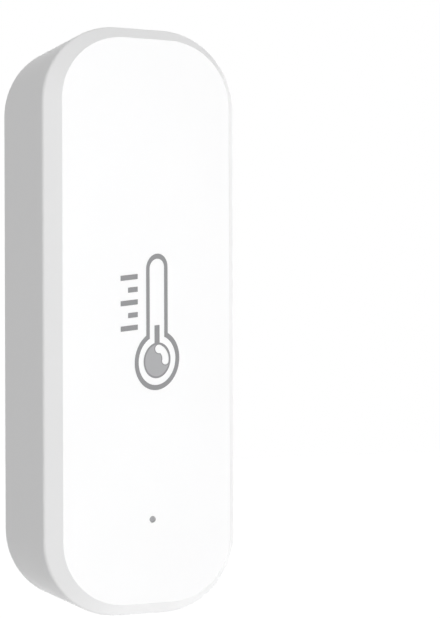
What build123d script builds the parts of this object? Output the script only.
from build123d import *
import math
import os

# Temperature and humidity sensor: a slim white case that sticks to a wall.
# Millimetres, +Z up along the case, the room on the -Y side and the wall on the +Y side.
# The origin is the centre of the adhesive pad's rear face, which meets the wall.
# A station is a distance from the wall towards the room: at(station) is the plane there,
# and extrude(amount=t) from it goes t further towards the room.

# Case
body_width = 26.2
body_height = 75.0
body_depth = 19.2
corner_radius = 9.9
wall = 1.4
face_wall = 1.6
inner_bevel = 1.0
rim_inset = 1.75
rim_depth = 2.6
rim_edge_radius = 1.2
rear_edge_radius = 0.3
overrun = 1.0
select_tolerance = 0.01

# Adhesive pad, in a shallow pocket of the back cover
pad_width = 17.6
pad_height = 53.6
pad_thickness = 1.0
pad_proud = 0.6
pad_radius = 6.8
pad_clearance = 0.2

# Back cover, with its locating lip, two snap hooks and grip grooves
cover_thickness = 1.5
cover_clearance = 0.12
cover_edge_radius = 0.25
rebate_inset = 0.8
lip_height = 1.2
lip_thickness = 0.7
lip_clearance = 0.15
hook_width = 5.0
hook_thickness = 0.9
hook_reach = 5.0
bead_height = 0.1
bead_length = 0.8
groove_depth = 0.3
groove_margin = 0.3
cover_rib_height = 0.5
cover_rib_width = 1.0
cover_rib_length = 17.0
cover_rib_shares = (-0.12, 0.2)
grip_width = 9.0
grip_height = 0.7
grip_depth = 0.3
grip_pitch = 1.4
grip_count = 3
grip_edge = 6.6
pry_radius = 8.0
pry_rise = 1.4
pry_depth = 0.9

# Circuit board and the space in front of it
component_gap = 2.7
board_thickness = 1.0
board_inset = 0.5
isolation_slot_width = 0.8
isolation_slot_length = 4.4
isolation_slot_offset = 3.3

# Screws, and the bosses that they bite into
screw_low_x = 5.5
screw_low_edge = 4.8
screw_top_edge = 3.9
screw_radius = 0.68
screw_clearance = 0.32
screw_length = 4.8
screw_head_radius = 1.5
screw_head_height = 1.2
screw_recess_length = 1.8
screw_recess_width = 0.4
screw_recess_depth = 0.6
boss_radius = 1.9
pilot_clearance = 0.02
pilot_spare = 0.3

# Posts and ribs inside the face
post_width = 1.2
post_height = 3.0
post_x = 9.4
post_shares = (-0.17, 0.28)
baffle_thickness = 0.8
baffle_length = 6.0

# Air slots in the lower end
vent_count = 4
vent_pitch = 1.6
vent_width = 0.9
vent_length = 4.4
vent_offset = 0.1

# Status light: its hole in the face, the light pipe behind it and the lamp on the board
led_x = 0.58
led_height = 12.37
led_hole_radius = 0.42
pipe_clearance = 0.04
pipe_recess = 0.15
pipe_flange_radius = 1.3
pipe_flange_thickness = 0.6
pipe_body_radius = 0.8
pipe_gap = 0.2
led_length = 1.6
led_width = 0.8
led_base_height = 0.35
led_lens_length = 1.1
led_lens_height = 0.4

# Pairing button in the right side, and the switch behind it
button_below_bay = 3.0
button_below_board = 2.5
button_length = 4.8
button_width = 3.0
button_clearance = 0.12
button_edge_radius = 0.25
flange_margin = 0.4
flange_gap = 0.05
flange_thickness = 0.6
stem_radius = 0.8
stem_length = 0.5
button_travel = 0.3
contact_gap = 0.05
switch_width = 3.6
switch_depth = 3.6
switch_height = 3.6
switch_edge_radius = 0.2
plunger_width = 1.6
plunger_height = 1.2
plunger_reach = 0.9
plunger_root = 1.2
plunger_clearance = 0.06

# Battery cells, contacts and springs. The cells fill the bay, and the shares are of a contact's width
cell_spacing = 0.4
cell_gap = 0.05
cell_rear_gap = 0.85
nub_share = 0.2375
nub_height = 1.0
crimp = 0.6
sleeve_thickness = 0.1
sleeve_clearance = 0.02
sleeve_margin = 0.15
contact_thickness = 0.3
contact_margin = 1.25
contact_edge_radius = 0.8
dimple_share = 0.2
dimple_height = 0.4
tab_share = 0.25
tab_clearance = 0.15
spring_height = 3.0
spring_wire = 0.5
spring_base_share = 0.4
spring_tip_share = 0.2375
spring_turns = 3
spring_gap_least = 0.4
biarcs_per_turn = 4
samples_per_turn = 60

# Battery tray
tray_clearance = 0.2
tray_floor = 1.0
tray_rear_gap = 2.1
tray_dip_depth = 4.5
tray_dip_length = 24.0
bay_lower_space = 14.9
bay_upper_space = 8.8
bay_end_wall = 1.2
bay_side_wall = 0.65
bay_side_gap = 0.15
cell_rib_width = 0.8
cell_rib_drop = 2.25
cell_rib_margin = 2.5
polarity_size = 3.0
polarity_stroke = 0.7
polarity_depth = 0.3
polarity_edge = 6.0
rail_width = 1.9
spine_gap = 0.4
spine_width = 2.6
strip_margin = 2.1
notch_drop = 3.1
air_notch_width = 5.2
air_notch_edge = 4.1

# Parts on the rear of the board, in the tray's window, which they share out between them
window_part_count = 3
window_part_gap = 0.2
capacitor_height = 4.6
capacitor_rim = 0.1
capacitor_base_height = 0.8
capacitor_neck = 0.2
inductor_height = 2.0
inductor_radius_share = 0.2
inductor_dish_share = 0.375
inductor_dish_depth = 0.25
regulator_width_share = 0.325
regulator_length = 2.9
regulator_height = 1.1
regulator_pitch = 0.95
regulator_reach_share = 0.1375
regulator_lead_count = 3
capacitor_share = -0.294
inductor_share = 0.071
regulator_share = 0.365

# Parts on the front of the board
radio_width = 16.0
radio_height = 20.0
radio_thickness = 0.8
radio_drop = 0.72
castellation_radius = 0.45
castellation_pitch = 2.0
castellation_count = 8
shield_width = 13.6
shield_depth = 1.5
shield_wall = 0.2
shield_margin = 0.9
antenna_trace_width = 0.5
antenna_trace_thickness = 0.05
antenna_pitch = 1.5
antenna_bar_count = 8
antenna_height = 3.8
antenna_edge = 0.8
antenna_gap = 1.9
control_chip_length = 5.0
control_chip_width = 4.0
control_chip_height = 1.5
control_chip_pitch = 1.27
control_chip_reach = 0.9
control_chip_lead_count = 4
control_chip_shares = (-0.2, -0.1)
lead_width = 0.4
lead_height = 0.3
small_part_length = 1.6
small_part_width = 0.8
small_part_height = 0.5
small_part_pitch = 2.6
small_part_row_count = 4
small_part_column_count = 3
small_part_shares = (0.2, -0.1)
sensor_size = 2.5
sensor_height = 0.9
sensor_port_radius = 0.55
sensor_port_depth = 0.4
sensor_edge = 2.6

# Printed thermometer on the face: its round parts are squeezed into ovals, and all of it leans
ink_thickness = 0.05
mark_x = 1.25
mark_squeeze = 0.81
mark_lean = 0.12
mark_stroke = 0.64
tube_side_stroke = 0.46
bulb_height = 32.53
bulb_radius = 3.76
tube_radius = 1.8
tube_top = 46.07
bulb_gap = 0.86
disc_line = 0.25
column_width = 0.68
column_top = 37.0
glint_angles = (-8, 34, 76)
glint_width = 0.9
glint_blob_radius = 0.55
glint_line = 0.12
scale_right = -1.37
scale_long = 2.3
scale_short = 1.3
scale_stroke = 0.65
scale_pitch = 1.6
scale_count = 5
scale_top = 42.82

# Stations and limits worked out from the sizes above
rear = pad_proud
front = rear + body_depth
cover_inner = rear + cover_thickness
face_inner = front - face_wall
board_front = face_inner - component_gap
board_rear = board_front - board_thickness
floor_rear = board_rear - tray_floor
half_width = body_width / 2 - wall
half_height = body_height / 2 - wall
foot = -body_height / 2

tray_half_width = half_width - tray_clearance
tray_wall_rise = floor_rear - cover_inner - tray_rear_gap
bay_width = 2 * (tray_half_width - bay_side_wall)
bay_bottom = bay_lower_space - half_height
bay_top = half_height - bay_upper_space
bay_length = bay_top - bay_bottom
bay_centre = (bay_bottom + bay_top) / 2
bay_underside = bay_bottom - bay_end_wall

cell_length = bay_length - 2 * contact_thickness - dimple_height - spring_height
widest_cell = (bay_width - 2 * bay_side_gap - cell_spacing) / 2
deepest_cell = floor_rear - cell_gap - cell_rear_gap - cover_inner
cell_radius = min(widest_cell, deepest_cell) / 2
cell_pitch = bay_width - 2 * (cell_radius + bay_side_gap)
cell_station = floor_rear - cell_gap - cell_radius
contact_width = 2 * (cell_radius - contact_margin)
nub_radius = nub_share * contact_width
dimple_radius = dimple_share * contact_width
tab_width = tab_share * contact_width
spring_base_radius = spring_base_share * contact_width
spring_tip_radius = spring_tip_share * contact_width

board_width = body_width - 2 * (wall + board_inset)
board_height = body_height - 2 * (wall + board_inset)
screw_places = (
    (-screw_low_x, screw_low_edge - half_height),
    (screw_low_x, screw_low_edge - half_height),
    (0, half_height - screw_top_edge),
)
led_z = foot + led_height

button_station = board_rear - button_below_board
button_z = bay_underside - button_below_bay
flange_face = half_width - flange_gap
stem_end = flange_face - flange_thickness - stem_length
plunger_tip = stem_end - contact_gap
switch_face = plunger_tip - plunger_reach
spine_right = switch_face - switch_depth - spine_gap
spine_left = spine_right - spine_width

strip_top = screw_low_edge - half_height + strip_margin
window_left = rail_width - tray_half_width
window_width = spine_left - window_left
window_height = bay_underside - strip_top
window_x = window_left + window_width / 2
window_z = strip_top + window_height / 2
capacitor_base = window_width / window_part_count
capacitor_radius = capacitor_base / 2 - capacitor_rim
inductor_size = capacitor_base - window_part_gap
regulator_width = regulator_width_share * inductor_size
regulator_reach = regulator_reach_share * inductor_size

radio_z = half_height - screw_top_edge - boss_radius - radio_drop - radio_height / 2
shield_height = radio_height - shield_margin - antenna_gap - antenna_height - antenna_edge


def at(station):
    """The plane parallel to the wall at this distance from it, facing the room."""
    return Plane.XZ.offset(station)


def case_outline(inset):
    """The case's rounded outline, drawn in by inset all round."""
    RectangleRounded(body_width - 2 * inset, body_height - 2 * inset, corner_radius - inset)


def save(part, name):
    """Labels a finished piece and writes its file."""
    part.part.label = name
    export_step(part.part, f"parts/{name}.step")


os.makedirs("parts", exist_ok=True)

# Front housing: face, bevelled rim and side walls in one moulding, open at the rear
with BuildPart() as front_housing:
    with BuildSketch(at(rear)):
        case_outline(0)
    extrude(amount=body_depth)
    face = front_housing.faces().sort_by(Axis.Y)[0]
    chamfer(face.edges(), length=rim_inset, length2=rim_depth, reference=face)
    rim_y = rim_depth - front
    rim_edges = front_housing.edges().filter_by_position(
        Axis.Y, rim_y - select_tolerance, rim_y + select_tolerance
    )
    fillet(rim_edges, radius=rim_edge_radius)
    fillet(front_housing.faces().sort_by(Axis.Y)[-1].edges(), radius=rear_edge_radius)
    # The hollow, with its front corner bevelled to keep the wall even under the rim
    with BuildSketch(at(rear)):
        case_outline(wall)
    extrude(amount=face_inner - inner_bevel - rear, mode=Mode.SUBTRACT)
    with BuildSketch(at(face_inner - inner_bevel)):
        case_outline(wall)
    extrude(amount=inner_bevel, taper=45, mode=Mode.SUBTRACT)
    # The step that the back cover sits in
    with BuildSketch(at(rear)):
        case_outline(rebate_inset)
    extrude(amount=cover_thickness, mode=Mode.SUBTRACT)
    # Bosses, board posts and the baffles beside the air sensor
    with BuildSketch(at(board_front)):
        with Locations(*screw_places):
            Circle(boss_radius)
        for share in post_shares:
            with Locations((0, share * body_height)):
                with GridLocations(2 * post_x, 0, 2, 1):
                    Rectangle(post_width, post_height)
        with Locations((0, baffle_length / 2 - half_height)):
            with GridLocations(2 * isolation_slot_offset, 0, 2, 1):
                Rectangle(baffle_thickness, baffle_length)
    extrude(amount=component_gap + face_wall / 2)
    with BuildSketch(at(board_front)):
        with Locations(*screw_places):
            Circle(screw_radius + pilot_clearance)
    extrude(amount=floor_rear + screw_length + pilot_spare - board_front, mode=Mode.SUBTRACT)
    # Hole for the status light
    with BuildSketch(at(face_inner - overrun)):
        with Locations((led_x, led_z)):
            Circle(led_hole_radius)
    extrude(amount=face_wall + 2 * overrun, mode=Mode.SUBTRACT)
    # Air slots in the lower end
    with BuildSketch(Plane.XY.offset(foot - overrun)):
        with Locations((0, -board_rear - vent_offset)):
            with GridLocations(vent_pitch, 0, vent_count, 1):
                SlotOverall(vent_length, vent_width, rotation=90)
    extrude(amount=wall + 2 * overrun, mode=Mode.SUBTRACT)
    # Hole for the pairing button
    with BuildSketch(Plane.YZ.offset(half_width - overrun)):
        with Locations((-button_station, button_z)):
            SlotOverall(
                button_length + 2 * button_clearance,
                button_width + 2 * button_clearance,
                rotation=90,
            )
    extrude(amount=wall + 2 * overrun, mode=Mode.SUBTRACT)
    # Grooves that the cover's two hooks snap into
    groove_station = cover_inner + hook_reach - bead_length / 2
    for side in (-1, 1):
        with BuildSketch(Plane.XY.offset(side * (half_height - overrun))):
            with Locations((0, -groove_station)):
                Rectangle(hook_width + 2 * groove_margin, bead_length + 2 * groove_margin)
        extrude(amount=side * (overrun + groove_depth), mode=Mode.SUBTRACT)
    # Thumbnail notch for prising the cover off
    with BuildSketch(at(rear)):
        with Locations((0, foot + pry_rise - pry_radius)):
            Circle(pry_radius)
    extrude(amount=pry_depth, mode=Mode.SUBTRACT)
save(front_housing, "front_housing")

# Printed thermometer: outline, scale and column in one ink
bulb_z = foot + bulb_height
cap_z = foot + tube_top - tube_radius
disc_radius = bulb_radius - mark_stroke - bulb_gap


def leaning(x, z):
    """A point of the upright mark, moved up or down by the mark's lean."""
    return (x, z + mark_lean * (x - mark_x))


def oval(z, across, up, mode=Mode.ADD):
    """An upright oval that leans: the lean turns and stretches it into another oval."""
    skew = mark_lean * across**2
    middle = (across**2 + up**2 + mark_lean * skew) / 2
    spread = math.hypot(across**2 - middle, skew)
    turn = math.atan2(skew, across**2 - middle) / 2
    with Locations((mark_x, z)):
        Ellipse(
            math.sqrt(middle + spread),
            math.sqrt(middle - spread),
            rotation=math.degrees(turn),
            mode=mode,
        )


def bar(left, right, low, high, mode=Mode.ADD):
    """An upright bar whose ends lean."""
    corners = [(left, low), (right, low), (right, high), (left, high)]
    Polygon(*[leaning(x, z) for x, z in corners], align=None, mode=mode)


def bulb_and_tube(inset, side_inset, mode=Mode.ADD):
    """The thermometer's bulb and round-topped tube, drawn in all round."""
    tube_across = tube_radius * mark_squeeze - side_inset
    oval(bulb_z, (bulb_radius - inset) * mark_squeeze, bulb_radius - inset, mode)
    oval(cap_z, tube_across, tube_radius - inset, mode)
    bar(mark_x - tube_across, mark_x + tube_across, bulb_z, cap_z, mode)


def glint(grow, mode=Mode.ADD):
    """The bulb's glint: a bent band with a blob at its upper end, grown all round."""
    inset = disc_line + glint_width / 2
    across = disc_radius * mark_squeeze - inset
    up = disc_radius - inset
    points = [
        leaning(mark_x + across * math.cos(angle), bulb_z + up * math.sin(angle))
        for angle in map(math.radians, glint_angles)
    ]
    with BuildLine(mode=Mode.PRIVATE):
        band = ThreePointArc(*points)
    SlotArc(band, glint_width + 2 * grow, mode=mode)
    with Locations(band @ 1 + Vector(0, glint_width / 2 - glint_blob_radius)):
        Circle(glint_blob_radius + grow, mode=mode)


with BuildPart() as thermometer_outline:
    with BuildSketch(at(front)):
        bulb_and_tube(0, 0)
        bulb_and_tube(mark_stroke, tube_side_stroke, Mode.SUBTRACT)
        column_left = mark_x - column_width / 2
        bar(column_left, column_left + column_width, bulb_z, foot + column_top)
        oval(bulb_z, disc_radius * mark_squeeze, disc_radius)
        inside = disc_radius - disc_line
        oval(bulb_z, inside * mark_squeeze, inside, Mode.SUBTRACT)
        glint(glint_line)
        glint(0, Mode.SUBTRACT)
        for i in range(scale_count):
            length = scale_short if i % 2 else scale_long
            tick_z = foot + scale_top - i * scale_pitch + mark_lean * (mark_x - scale_right)
            bar(scale_right - length, scale_right, tick_z, tick_z + scale_stroke)
    extrude(amount=ink_thickness)
save(thermometer_outline, "thermometer_outline_print")

# Printed bulb: a paler disc with the outlined glint left out
with BuildPart() as thermometer_bulb:
    with BuildSketch(at(front)):
        oval(bulb_z, inside * mark_squeeze, inside)
        glint(glint_line, Mode.SUBTRACT)
    extrude(amount=ink_thickness)
save(thermometer_bulb, "thermometer_bulb_print")

# Light pipe: a clear stepped pin from the lamp to the face
pipe_start = board_front + led_base_height + led_lens_height + pipe_gap
with BuildPart() as light_pipe:
    with BuildSketch(at(pipe_start)):
        with Locations((led_x, led_z)):
            Circle(pipe_body_radius)
    extrude(amount=face_inner - pipe_start)
    with BuildSketch(at(face_inner - pipe_flange_thickness)):
        with Locations((led_x, led_z)):
            Circle(pipe_flange_radius)
    extrude(amount=pipe_flange_thickness)
    with BuildSketch(at(face_inner)):
        with Locations((led_x, led_z)):
            Circle(led_hole_radius - pipe_clearance)
    extrude(amount=face_wall - pipe_recess)
save(light_pipe, "light_pipe")

# Pairing button: cap flush with the side, flange behind the wall and a short stem
with BuildPart() as side_button:
    with BuildSketch(Plane.YZ.offset(flange_face)):
        with Locations((-button_station, button_z)):
            SlotOverall(button_length, button_width, rotation=90)
    extrude(amount=body_width / 2 - flange_face)
    fillet(side_button.faces().sort_by(Axis.X)[-1].edges(), radius=button_edge_radius)
    with BuildSketch(Plane.YZ.offset(flange_face)):
        with Locations((-button_station, button_z)):
            SlotOverall(
                button_length + 2 * flange_margin,
                button_width + 2 * flange_margin,
                rotation=90,
            )
    extrude(amount=-flange_thickness)
    with BuildSketch(Plane.YZ.offset(stem_end)):
        with Locations((-button_station, button_z)):
            Circle(stem_radius)
    extrude(amount=stem_length)
save(side_button, "side_button")

# Push switch behind the button: body with a pocket, and the plunger that slides in it
with BuildPart() as switch_body:
    with BuildSketch(at(board_rear)):
        with Locations((switch_face - switch_depth / 2, button_z)):
            RectangleRounded(switch_depth, switch_width, switch_edge_radius)
    extrude(amount=-switch_height)
    pocket_depth = plunger_root + button_travel + contact_gap
    with BuildSketch(Plane.YZ.offset(switch_face)):
        with Locations((-button_station, button_z)):
            Rectangle(
                plunger_height + 2 * plunger_clearance, plunger_width + 2 * plunger_clearance
            )
    extrude(amount=-pocket_depth, mode=Mode.SUBTRACT)
save(switch_body, "switch_body")

with BuildPart() as switch_plunger:
    with BuildSketch(Plane.YZ.offset(switch_face - plunger_root)):
        with Locations((-button_station, button_z)):
            Rectangle(plunger_height, plunger_width)
    extrude(amount=plunger_root + plunger_reach)
save(switch_plunger, "switch_plunger")

# Circuit board, with slots that keep heat away from the air sensor
with BuildPart() as circuit_board:
    with BuildSketch(at(board_rear)):
        case_outline(wall + board_inset)
        with Locations(*screw_places):
            Circle(screw_radius + screw_clearance, mode=Mode.SUBTRACT)
        with Locations((0, isolation_slot_length / 2 - board_height / 2 - overrun / 2)):
            with GridLocations(2 * isolation_slot_offset, 0, 2, 1):
                Rectangle(
                    isolation_slot_width, isolation_slot_length + overrun, mode=Mode.SUBTRACT
                )
    extrude(amount=board_thickness)
save(circuit_board, "circuit_board")

# Radio module: a small board with scalloped edges, a tin shield and a zigzag antenna
with BuildPart() as radio_board:
    with BuildSketch(at(board_front)):
        with Locations((0, radio_z)):
            Rectangle(radio_width, radio_height)
            with GridLocations(radio_width, castellation_pitch, 2, castellation_count):
                Circle(castellation_radius, mode=Mode.SUBTRACT)
    extrude(amount=radio_thickness)
save(radio_board, "radio_board")

radio_front = board_front + radio_thickness
shield_z = radio_z - radio_height / 2 + shield_margin + shield_height / 2
with BuildPart() as radio_shield:
    with BuildSketch(at(radio_front)):
        with Locations((0, shield_z)):
            Rectangle(shield_width, shield_height)
    extrude(amount=shield_depth)
    with BuildSketch(at(radio_front)):
        with Locations((0, shield_z)):
            Rectangle(shield_width - 2 * shield_wall, shield_height - 2 * shield_wall)
    extrude(amount=shield_depth - shield_wall, mode=Mode.SUBTRACT)
    fillet(radio_shield.faces().sort_by(Axis.Y)[0].edges(), radius=shield_wall / 2)
save(radio_shield, "radio_shield")

with BuildPart() as antenna_trace:
    antenna_z = radio_z + radio_height / 2 - antenna_edge - antenna_height / 2
    antenna_left = -antenna_pitch * (antenna_bar_count - 1) / 2
    with BuildSketch(at(radio_front)):
        for i in range(antenna_bar_count):
            with Locations((antenna_left + i * antenna_pitch, antenna_z)):
                Rectangle(antenna_trace_width, antenna_height)
        for i in range(antenna_bar_count - 1):
            link_side = 1 if i % 2 else -1
            link_z = antenna_z + link_side * (antenna_height - antenna_trace_width) / 2
            with Locations((antenna_left + (i + 0.5) * antenna_pitch, link_z)):
                Rectangle(antenna_pitch + antenna_trace_width, antenna_trace_width)
    extrude(amount=antenna_trace_thickness)
save(antenna_trace, "antenna_trace")

# Status lamp: a base with a smaller lens
with BuildPart() as status_lamp:
    with BuildSketch(at(board_front)):
        with Locations((led_x, led_z)):
            Rectangle(led_length, led_width)
    extrude(amount=led_base_height)
    with BuildSketch(at(board_front + led_base_height)):
        with Locations((led_x, led_z)):
            Rectangle(led_lens_length, led_width)
    extrude(amount=led_lens_height)
save(status_lamp, "status_lamp")

# Temperature and humidity chip, with its air port
with BuildPart() as humidity_sensor:
    with BuildSketch(at(board_front)):
        with Locations((0, sensor_edge - board_height / 2)):
            Rectangle(sensor_size, sensor_size)
    extrude(amount=sensor_height)
    with BuildSketch(at(board_front + sensor_height)):
        with Locations((0, sensor_edge - board_height / 2)):
            Circle(sensor_port_radius)
    extrude(amount=-sensor_port_depth, mode=Mode.SUBTRACT)
save(humidity_sensor, "humidity_sensor")


def leaded_chip(x, z, station, side, size, pitch, reach, leads):
    """A chip with a row of leads along each long side. side is 1 towards the room."""
    width, length, height = size
    with BuildPart() as chip:
        with BuildSketch(at(station)):
            with Locations((x, z)):
                Rectangle(width, length)
        extrude(amount=side * height)
        with BuildSketch(at(station)):
            with Locations((x, z)):
                with GridLocations(width + reach, pitch, 2, leads):
                    Rectangle(reach, lead_width)
        extrude(amount=side * lead_height)
    return chip


control_chip = leaded_chip(
    control_chip_shares[0] * board_width,
    control_chip_shares[1] * board_height,
    board_front,
    1,
    (control_chip_width, control_chip_length, control_chip_height),
    control_chip_pitch,
    control_chip_reach,
    control_chip_lead_count,
)
save(control_chip, "control_chip")

voltage_regulator = leaded_chip(
    window_x + regulator_share * window_width,
    window_z,
    board_rear,
    -1,
    (regulator_width, regulator_length, regulator_height),
    regulator_pitch,
    regulator_reach,
    regulator_lead_count,
)
save(voltage_regulator, "voltage_regulator")

# Small resistors and capacitors, alike and in rows
with BuildPart() as small_parts:
    with BuildSketch(at(board_front)):
        with Locations((small_part_shares[0] * board_width, small_part_shares[1] * board_height)):
            with GridLocations(
                small_part_pitch,
                small_part_pitch,
                small_part_column_count,
                small_part_row_count,
            ):
                Rectangle(small_part_length, small_part_width)
    extrude(amount=small_part_height)
save(small_parts, "small_surface_parts")

# Storage capacitor: black base and a necked can
capacitor_x = window_x + capacitor_share * window_width
with BuildPart() as capacitor_base_part:
    with BuildSketch(at(board_rear)):
        with Locations((capacitor_x, window_z)):
            Rectangle(capacitor_base, capacitor_base)
    extrude(amount=-capacitor_base_height)
    chamfer(
        capacitor_base_part.edges().filter_by(Axis.Y).group_by(Axis.Z)[0], length=capacitor_neck * 2
    )
save(capacitor_base_part, "capacitor_base")

with BuildPart() as capacitor_can:
    with BuildSketch(at(board_rear - capacitor_base_height)):
        with Locations((capacitor_x, window_z)):
            Circle(capacitor_radius - capacitor_neck)
    extrude(amount=-capacitor_neck * 2)
    with BuildSketch(at(board_rear - capacitor_base_height - capacitor_neck * 2)):
        with Locations((capacitor_x, window_z)):
            Circle(capacitor_radius)
    extrude(amount=-(capacitor_height - capacitor_neck * 2))
    fillet(capacitor_can.faces().sort_by(Axis.Y)[-1].edges(), radius=capacitor_neck)
save(capacitor_can, "capacitor_can")

# Power inductor: a ferrite block with rounded corners and a dished top
with BuildPart() as power_inductor:
    with BuildSketch(at(board_rear)):
        with Locations((window_x + inductor_share * window_width, window_z)):
            RectangleRounded(
                inductor_size, inductor_size, inductor_radius_share * inductor_size
            )
    extrude(amount=-inductor_height)
    with BuildSketch(at(board_rear - inductor_height)):
        with Locations((window_x + inductor_share * window_width, window_z)):
            Circle(inductor_dish_share * inductor_size)
    extrude(amount=inductor_dish_depth, mode=Mode.SUBTRACT)
save(power_inductor, "power_inductor")

# Battery tray: floor over the board, walls round two cells, and openings for tall parts
with BuildPart() as battery_tray:
    with BuildSketch(at(floor_rear)):
        case_outline(wall + tray_clearance)
    extrude(amount=tray_floor)
    with BuildSketch(at(floor_rear - tray_wall_rise)):
        with Locations((0, bay_centre)):
            Rectangle(2 * tray_half_width, bay_length + 2 * bay_end_wall)
            Rectangle(bay_width, bay_length, mode=Mode.SUBTRACT)
        RectangleRounded(
            body_width - 2 * (wall + tray_clearance),
            body_height - 2 * (wall + tray_clearance),
            corner_radius - wall - tray_clearance,
            mode=Mode.INTERSECT,
        )
    extrude(amount=tray_wall_rise)
    # Dips in both side walls, so that a finger can lift a cell
    with BuildSketch(at(floor_rear - tray_wall_rise)):
        with Locations((0, bay_centre)):
            Rectangle(body_width, tray_dip_length)
    extrude(amount=tray_dip_depth, mode=Mode.SUBTRACT)
    # Low rib between the two cells
    cell_rib_height = cell_radius - cell_rib_drop
    with BuildSketch(at(floor_rear - cell_rib_height)):
        with Locations((0, bay_centre)):
            Rectangle(cell_rib_width, bay_length - 2 * cell_rib_margin)
    extrude(amount=cell_rib_height)
    # Screw holes, the window and notches over the board's tall parts, and an air notch
    with BuildSketch(at(floor_rear)):
        with Locations(*screw_places):
            Circle(screw_radius + screw_clearance)
        with Locations((window_x, window_z)):
            Rectangle(window_width, window_height)
        notch_width = body_width / 2 - spine_right
        notch_height = button_below_bay + notch_drop
        with Locations((spine_right + notch_width / 2, bay_underside - notch_height / 2)):
            Rectangle(notch_width, notch_height)
        with Locations((0, air_notch_edge / 2 - half_height)):
            Rectangle(air_notch_width, air_notch_edge)
        # Slots for the solder tabs of the two lower contacts
        with Locations((0, bay_bottom + contact_thickness / 2)):
            with GridLocations(cell_pitch, 0, 2, 1):
                Rectangle(tab_width + 2 * tab_clearance, contact_thickness + 2 * tab_clearance)
    extrude(amount=tray_floor, mode=Mode.SUBTRACT)
    # Polarity marks sunk in the floor under each end of the cells
    with BuildSketch(at(floor_rear)):
        for side in (-1, 1):
            plus_z = bay_centre + side * (bay_length / 2 - polarity_edge)
            with Locations((side * cell_pitch / 2, plus_z)):
                Rectangle(polarity_size, polarity_stroke)
                Rectangle(polarity_stroke, polarity_size)
            with Locations((-side * cell_pitch / 2, plus_z)):
                Rectangle(polarity_size, polarity_stroke)
    extrude(amount=polarity_depth, mode=Mode.SUBTRACT)
save(battery_tray, "battery_tray")

# Screws that hold tray and board to the housing, one shape at three places
with BuildPart() as chassis_screws:
    with BuildSketch(at(floor_rear)):
        with Locations(*screw_places):
            Circle(screw_radius)
    extrude(amount=screw_length)
    with BuildSketch(at(floor_rear - screw_head_height)):
        with Locations(*screw_places):
            Circle(screw_head_radius)
    extrude(amount=screw_head_height)
    head_edges = chassis_screws.faces().filter_by(Axis.Y).group_by(Axis.Y)[-1].edges()
    fillet(head_edges, radius=screw_head_height / 3)
    with BuildSketch(at(floor_rear - screw_head_height)):
        with Locations(*screw_places):
            Rectangle(screw_recess_length, screw_recess_width)
            Rectangle(screw_recess_width, screw_recess_length)
    extrude(amount=screw_recess_depth, mode=Mode.SUBTRACT)
save(chassis_screws, "chassis_screws")


def cell_profile(radius_station, z_tip, direction, points):
    """Places (radius, distance from the nub's tip) points beside the axis of a cell."""
    return [(radius_station + r, z_tip + direction * s) for r, s in points]


def cell_can(x, z_tip, direction):
    """A cell's steel can with its nub. direction is 1 where the nub points down."""
    can_radius = cell_radius - sleeve_thickness - sleeve_clearance
    with BuildPart() as can:
        with BuildSketch(at(cell_station)):
            points = (
                (0, 0),
                (nub_radius, 0),
                (nub_radius, nub_height),
                (can_radius - crimp, nub_height),
                (can_radius, nub_height + crimp),
                (can_radius, cell_length - crimp),
                (can_radius - crimp, cell_length),
                (0, cell_length),
            )
            with BuildLine():
                Polyline(*cell_profile(x, z_tip, direction, points), close=True)
            make_face()
        revolve(axis=Axis((x, -cell_station, 0), (0, 0, 1)))
    return can


def cell_sleeve(x, z_tip, direction):
    """The printed plastic sleeve round a cell."""
    first = nub_height + crimp + sleeve_margin
    last = cell_length - crimp - sleeve_margin
    with BuildPart() as sleeve:
        with BuildSketch(Plane.XY.offset(z_tip + direction * first)):
            with Locations((x, -cell_station)):
                Circle(cell_radius)
                Circle(cell_radius - sleeve_thickness, mode=Mode.SUBTRACT)
        extrude(amount=direction * (last - first))
    return sleeve


left_tip = bay_bottom + contact_thickness + dimple_height
right_tip = bay_top - contact_thickness - dimple_height
for name, x, z_tip, direction in (
    ("left_cell", -cell_pitch / 2, left_tip, 1),
    ("right_cell", cell_pitch / 2, right_tip, -1),
):
    save(cell_can(x, z_tip, direction), f"{name}_can")
    save(cell_sleeve(x, z_tip, direction), f"{name}_sleeve")

# Lower contacts: one plate with a dimple and one that seats a spring, each with a tab
plate_y = -cell_station
tab_length = board_rear - cell_station - contact_width / 2
with BuildPart() as positive_contact:
    with BuildSketch(Plane.XY.offset(bay_bottom)):
        with Locations((-cell_pitch / 2, plate_y)):
            RectangleRounded(contact_width, contact_width, contact_edge_radius)
        with Locations((-cell_pitch / 2, -board_rear + (tab_length + contact_edge_radius) / 2)):
            Rectangle(tab_width, tab_length + contact_edge_radius)
    extrude(amount=contact_thickness)
    with BuildSketch(Plane.XY.offset(bay_bottom + contact_thickness)):
        with Locations((-cell_pitch / 2, plate_y)):
            Circle(dimple_radius)
    extrude(amount=dimple_height)
    dimple_edges = positive_contact.faces().sort_by(Axis.Z)[-1].edges()
    fillet(dimple_edges, radius=dimple_height / 2)
save(positive_contact, "positive_contact")

with BuildPart() as negative_contact:
    with BuildSketch(Plane.XY.offset(bay_bottom)):
        with Locations((cell_pitch / 2, plate_y)):
            RectangleRounded(contact_width, contact_width, contact_edge_radius)
        with Locations((cell_pitch / 2, -board_rear + (tab_length + contact_edge_radius) / 2)):
            Rectangle(tab_width, tab_length + contact_edge_radius)
    extrude(amount=contact_thickness)
save(negative_contact, "negative_contact")

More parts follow.
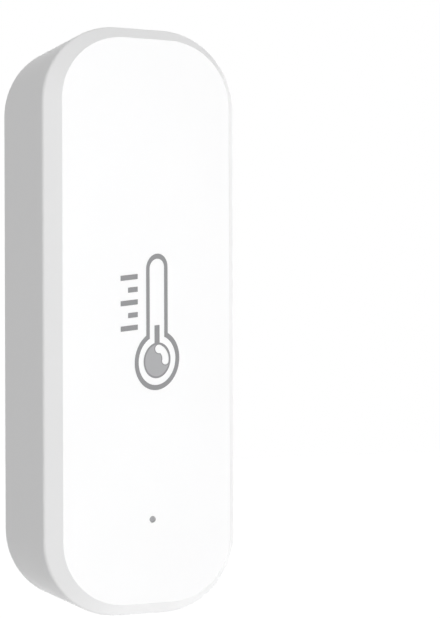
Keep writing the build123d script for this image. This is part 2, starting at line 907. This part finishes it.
# Upper contact: one plate that bridges both cells
with BuildPart() as bridge_contact:
    with BuildSketch(Plane.XY.offset(bay_top)):
        with Locations((0, plate_y)):
            RectangleRounded(cell_pitch + contact_width, contact_width, contact_edge_radius)
    extrude(amount=-contact_thickness)
    with BuildSketch(Plane.XY.offset(bay_top - contact_thickness)):
        with Locations((cell_pitch / 2, plate_y)):
            Circle(dimple_radius)
    extrude(amount=-dimple_height)
    fillet(bridge_contact.faces().sort_by(Axis.Z)[0].edges(), radius=dimple_height / 2)
save(bridge_contact, "bridge_contact")


def cone_point(t, x, z_plate, direction):
    """The wire's centre after t turns from the plate, on a narrowing helix."""
    share = t / spring_turns
    radius = spring_base_radius + (spring_tip_radius - spring_base_radius) * share
    rise = spring_wire / 2 + (spring_height - spring_wire) * share
    angle = 2 * math.pi * t
    return Vector(
        x + radius * math.cos(angle),
        -cell_station + radius * math.sin(angle),
        z_plate + direction * rise,
    )


def cone_tangent(t, x, z_plate, direction):
    """The direction of the wire there, from two points close to it."""
    step = 1e-4
    ahead = cone_point(t + step, x, z_plate, direction)
    return (ahead - cone_point(t - step, x, z_plate, direction)).normalized()


def biarc(start, start_tangent, end, end_tangent):
    """Two arcs that leave start and reach end along the given tangents."""
    chord = end - start
    along = chord.dot(start_tangent + end_tangent)
    turn = 2 * (1 - start_tangent.dot(end_tangent))
    reach = (math.sqrt(along**2 + turn * chord.dot(chord)) - along) / turn
    first = start + start_tangent * reach
    second = end - end_tangent * reach
    middle = (first + second) / 2
    TangentArc(start, middle, tangent=start_tangent)
    TangentArc(middle, end, tangent=second - first)


def cone_spring(x, z_plate, direction):
    """A conical contact spring: one unbroken wire, swept along quarter-turn biarcs."""
    steps = biarcs_per_turn * spring_turns
    with BuildPart() as spring:
        with BuildLine() as wire_path:
            for i in range(steps):
                begin, finish = i / biarcs_per_turn, (i + 1) / biarcs_per_turn
                biarc(
                    cone_point(begin, x, z_plate, direction),
                    cone_tangent(begin, x, z_plate, direction),
                    cone_point(finish, x, z_plate, direction),
                    cone_tangent(finish, x, z_plate, direction),
                )
        path_start = Plane(
            cone_point(0, x, z_plate, direction), z_dir=cone_tangent(0, x, z_plate, direction)
        )
        with BuildSketch(path_start):
            Circle(spring_wire / 2)
        sweep(path=wire_path.line)
    length = wire_path.wire().length
    print("spring wire length", round(length, 2), "volume", round(spring.part.volume, 3))
    print("section times length", round(math.pi * (spring_wire / 2) ** 2 * length, 3))
    return spring


sample_count = samples_per_turn * spring_turns + 1
samples = [cone_point(i / samples_per_turn, 0, 0, 1) for i in range(sample_count)]
least_gap = min(
    (samples[i] - samples[j]).length - spring_wire
    for i in range(sample_count)
    for j in range(i + samples_per_turn * 2 // 3, sample_count)
)
print("least gap between turns", round(least_gap, 3), "wanted over", spring_gap_least)

save(cone_spring(-cell_pitch / 2, bay_top - contact_thickness, -1), "upper_spring")
save(cone_spring(cell_pitch / 2, bay_bottom + contact_thickness, 1), "lower_spring")

# Back cover: plate, locating lip, hooks, ribs over the cells, pad pocket and grip grooves
with BuildPart() as back_cover:
    with BuildSketch(at(rear)):
        case_outline(rebate_inset + cover_clearance)
    extrude(amount=cover_thickness)
    fillet(back_cover.faces().sort_by(Axis.Y)[-1].edges(), radius=cover_edge_radius)
    with BuildSketch(at(cover_inner)):
        case_outline(wall + lip_clearance)
        RectangleRounded(
            body_width - 2 * (wall + lip_clearance + lip_thickness),
            body_height - 2 * (wall + lip_clearance + lip_thickness),
            corner_radius - wall - lip_clearance - lip_thickness,
            mode=Mode.SUBTRACT,
        )
    extrude(amount=lip_height)
    hook_z = half_height - lip_clearance - hook_thickness / 2
    with BuildSketch(at(cover_inner)):
        with GridLocations(0, 2 * hook_z, 1, 2):
            Rectangle(hook_width, hook_thickness)
    extrude(amount=hook_reach)
    bead_z = half_height - lip_clearance + bead_height / 2
    with BuildSketch(at(cover_inner + hook_reach - bead_length)):
        with GridLocations(0, 2 * bead_z, 1, 2):
            Rectangle(hook_width, bead_height)
    extrude(amount=bead_length)
    with BuildSketch(at(cover_inner)):
        for share in cover_rib_shares:
            with Locations((0, share * body_height)):
                Rectangle(cover_rib_length, cover_rib_width)
    extrude(amount=cover_rib_height)
    pad_sink = pad_thickness - pad_proud
    with BuildSketch(at(rear)):
        RectangleRounded(
            pad_width + 2 * pad_clearance, pad_height + 2 * pad_clearance, pad_radius + pad_clearance
        )
    extrude(amount=pad_sink, mode=Mode.SUBTRACT)
    with BuildSketch(at(rear)):
        with Locations((0, grip_edge - half_height)):
            with GridLocations(0, grip_pitch, 1, grip_count):
                SlotOverall(grip_width, grip_height)
    extrude(amount=grip_depth, mode=Mode.SUBTRACT)
save(back_cover, "back_cover")

# Foam adhesive pad
with BuildPart() as adhesive_pad:
    with BuildSketch(at(0)):
        RectangleRounded(pad_width, pad_height, pad_radius)
    extrude(amount=pad_thickness)
save(adhesive_pad, "adhesive_pad")
